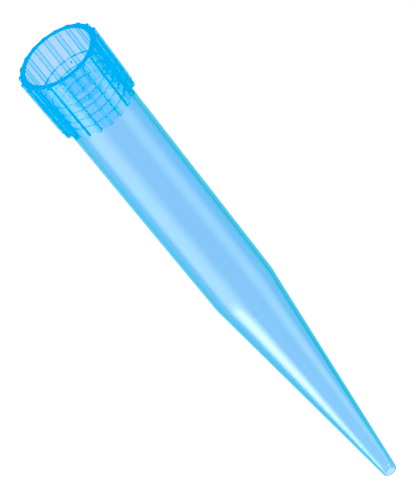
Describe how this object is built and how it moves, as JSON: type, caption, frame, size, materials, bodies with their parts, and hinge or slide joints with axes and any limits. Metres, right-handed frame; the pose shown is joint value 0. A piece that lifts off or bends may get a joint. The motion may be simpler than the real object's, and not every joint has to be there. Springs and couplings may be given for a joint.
{
  "type": "pipette tip",
  "caption": "Clear blue disposable tip for a hand pipette, with a ribbed collar, sealing rings in its socket, a straight barrel and a long cone to a fine point.",
  "frame": {"origin": "centre of the socket's mouth, in the plane of the rim", "axes": "+Z along the tip's axis, out of the socket towards the pipette; the point is at -Z; the first rib is at +X"},
  "size_m": [0.009, 0.009, 0.071],
  "materials": {
    "tip_plastic": "clear, glossy moulded polypropylene, tinted blue"
  },
  "bodies": {
    "root": {"collar": "tip_plastic", "collar_ribs": "tip_plastic", "sealing_rings": "tip_plastic", "barrel": "tip_plastic", "lower_cone": "tip_plastic"}
  },
  "joints": []
}
